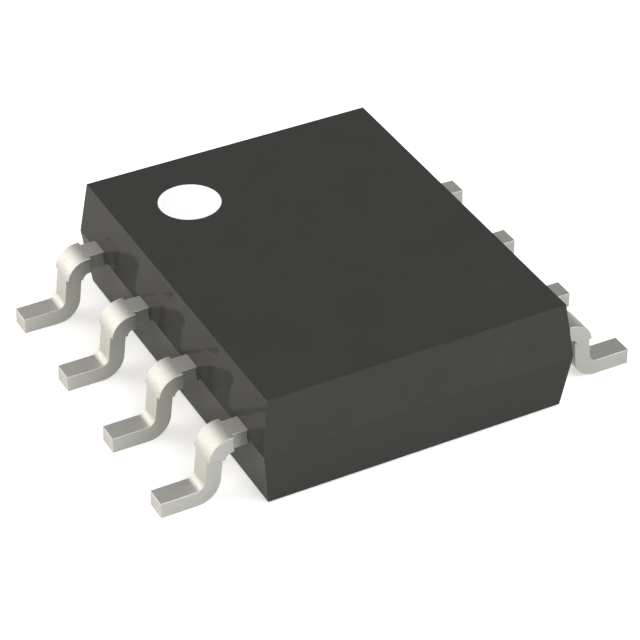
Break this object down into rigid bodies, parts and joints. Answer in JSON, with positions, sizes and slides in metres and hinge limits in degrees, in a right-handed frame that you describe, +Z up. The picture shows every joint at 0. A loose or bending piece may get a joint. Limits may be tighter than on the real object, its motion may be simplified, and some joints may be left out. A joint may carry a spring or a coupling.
{
  "type": "digital isolator",
  "caption": "Flat black moulded chip package with short gull-wing metal leads in a row along both long sides, and a round white mark near one corner of its top.",
  "frame": {"origin": "centre of the package, on the plane that the soles of the feet stand on", "axes": "+X from the input side (leads 1 to 4) to the output side (leads 5 to 8), +Y along the body towards lead 1 and the mark, +Z up out of the marked top"},
  "size_m": [0.006, 0.005, 0.0014],
  "materials": {
    "mould_compound": "silica-filled black epoxy, fine matt moulded skin",
    "marking_ink": "flat white ink",
    "tinned_copper": "copper alloy under satin matt tin plate",
    "die_adhesive": "silver-filled epoxy",
    "silicon": "polished silicon",
    "bond_gold": "bright drawn gold wire"
  },
  "bodies": {
    "root": {"moulded_body": "mould_compound", "pin_one_mark": "marking_ink", "lead_1": "tinned_copper", "lead_2": "tinned_copper", "lead_3": "tinned_copper", "lead_4": "tinned_copper", "lead_5": "tinned_copper", "lead_6": "tinned_copper", "lead_7": "tinned_copper", "lead_8": "tinned_copper", "input_die_attach": "die_adhesive", "input_die": "silicon", "output_die_attach": "die_adhesive", "output_die": "silicon", "bond_wire_1": "bond_gold", "bond_wire_2": "bond_gold", "bond_wire_3": "bond_gold", "bond_wire_4": "bond_gold", "bond_wire_5": "bond_gold", "bond_wire_6": "bond_gold", "bond_wire_7": "bond_gold", "bond_wire_8": "bond_gold", "isolation_wire_a_plus": "bond_gold", "isolation_wire_a_minus": "bond_gold", "isolation_wire_b_plus": "bond_gold", "isolation_wire_b_minus": "bond_gold"}
  },
  "joints": []
}
